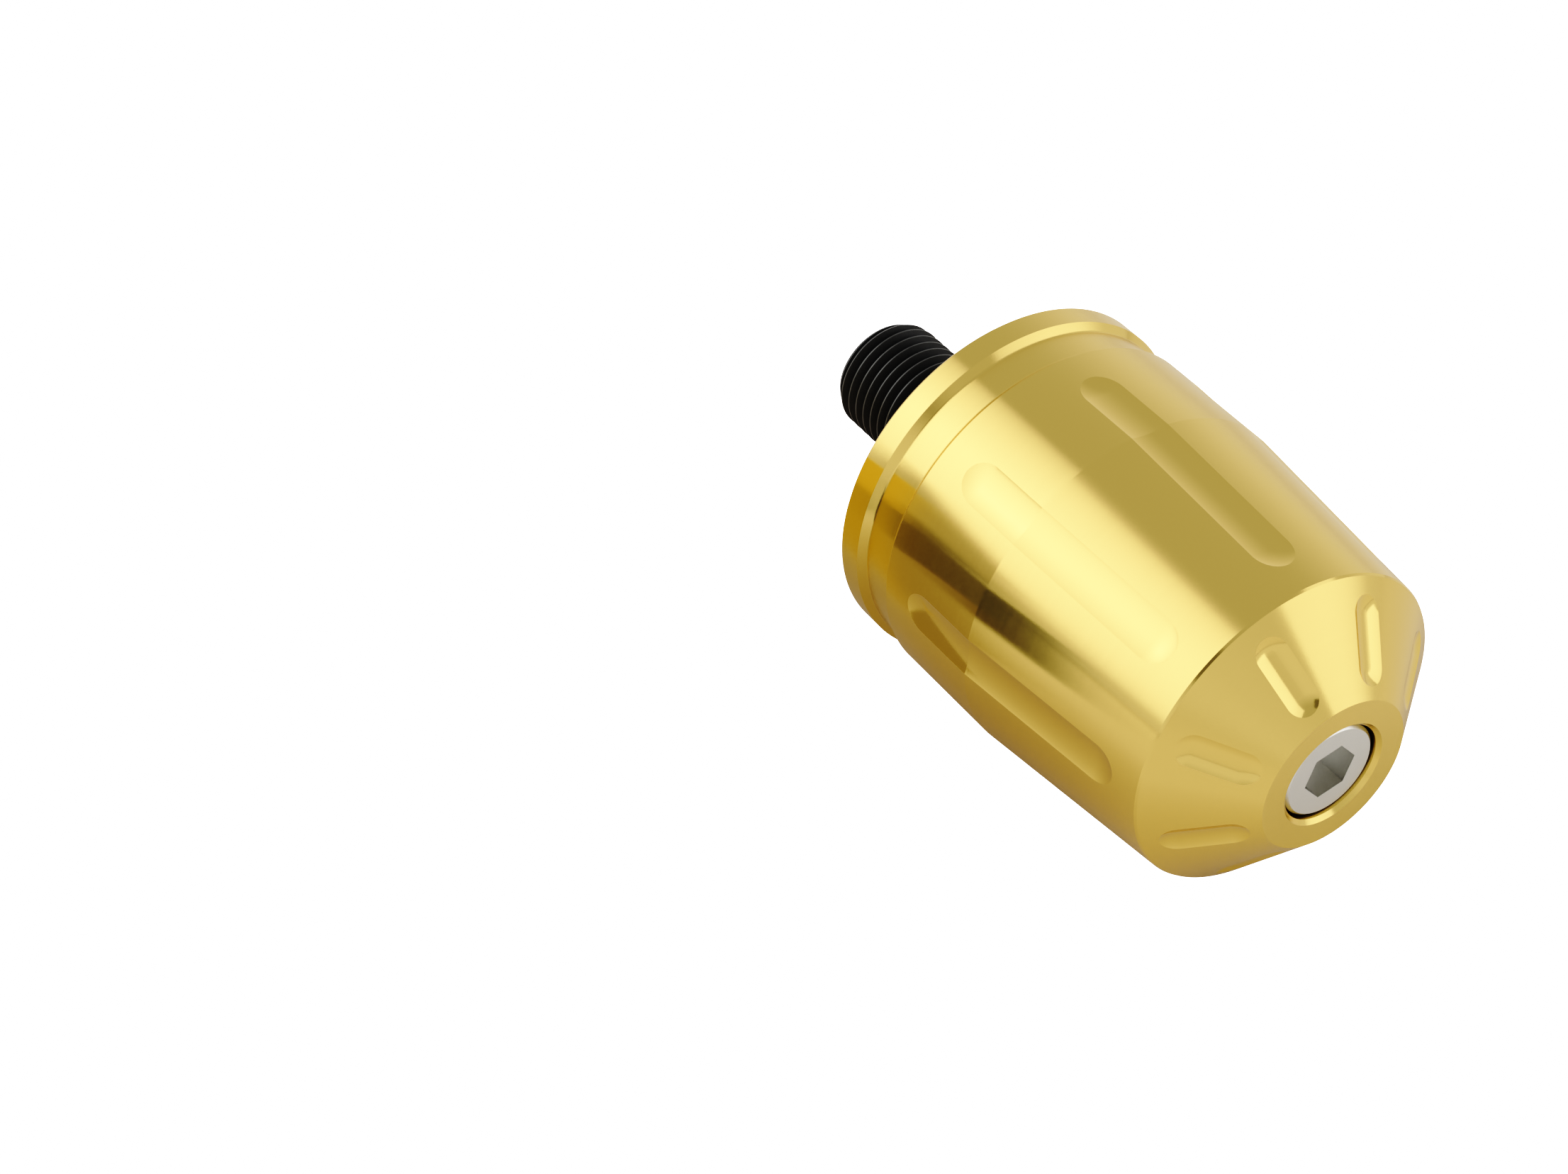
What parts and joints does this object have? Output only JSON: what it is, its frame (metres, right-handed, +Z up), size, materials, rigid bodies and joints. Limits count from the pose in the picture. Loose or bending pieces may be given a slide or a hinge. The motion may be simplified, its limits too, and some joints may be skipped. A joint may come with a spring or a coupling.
{
  "type": "bar end weight",
  "caption": "Fluted, tapered aluminium sleeve over a steel weight, with a threaded stud for the end of a handlebar and a cap screw in the nose.",
  "frame": {"origin": "centre of the seat, the plane where the sleeve's rim and the weight's face meet the end of the handlebar", "axes": "+X along the common axis, out of the handlebar towards the nose; -X along the stud; +Z up through the middle of one flute of the body"},
  "size_m": [0.07, 0.038, 0.038],
  "materials": {
    "anodised_sleeve": "satin, gold anodised",
    "turned_steel": "fine turned",
    "black_oxide_steel": "black oxide",
    "stainless_steel": "stainless, bright"
  },
  "bodies": {
    "root": {"outer_sleeve": "anodised_sleeve", "inner_weight": "turned_steel", "threaded_stud": "black_oxide_steel", "cap_screw": "stainless_steel"}
  },
  "joints": []
}
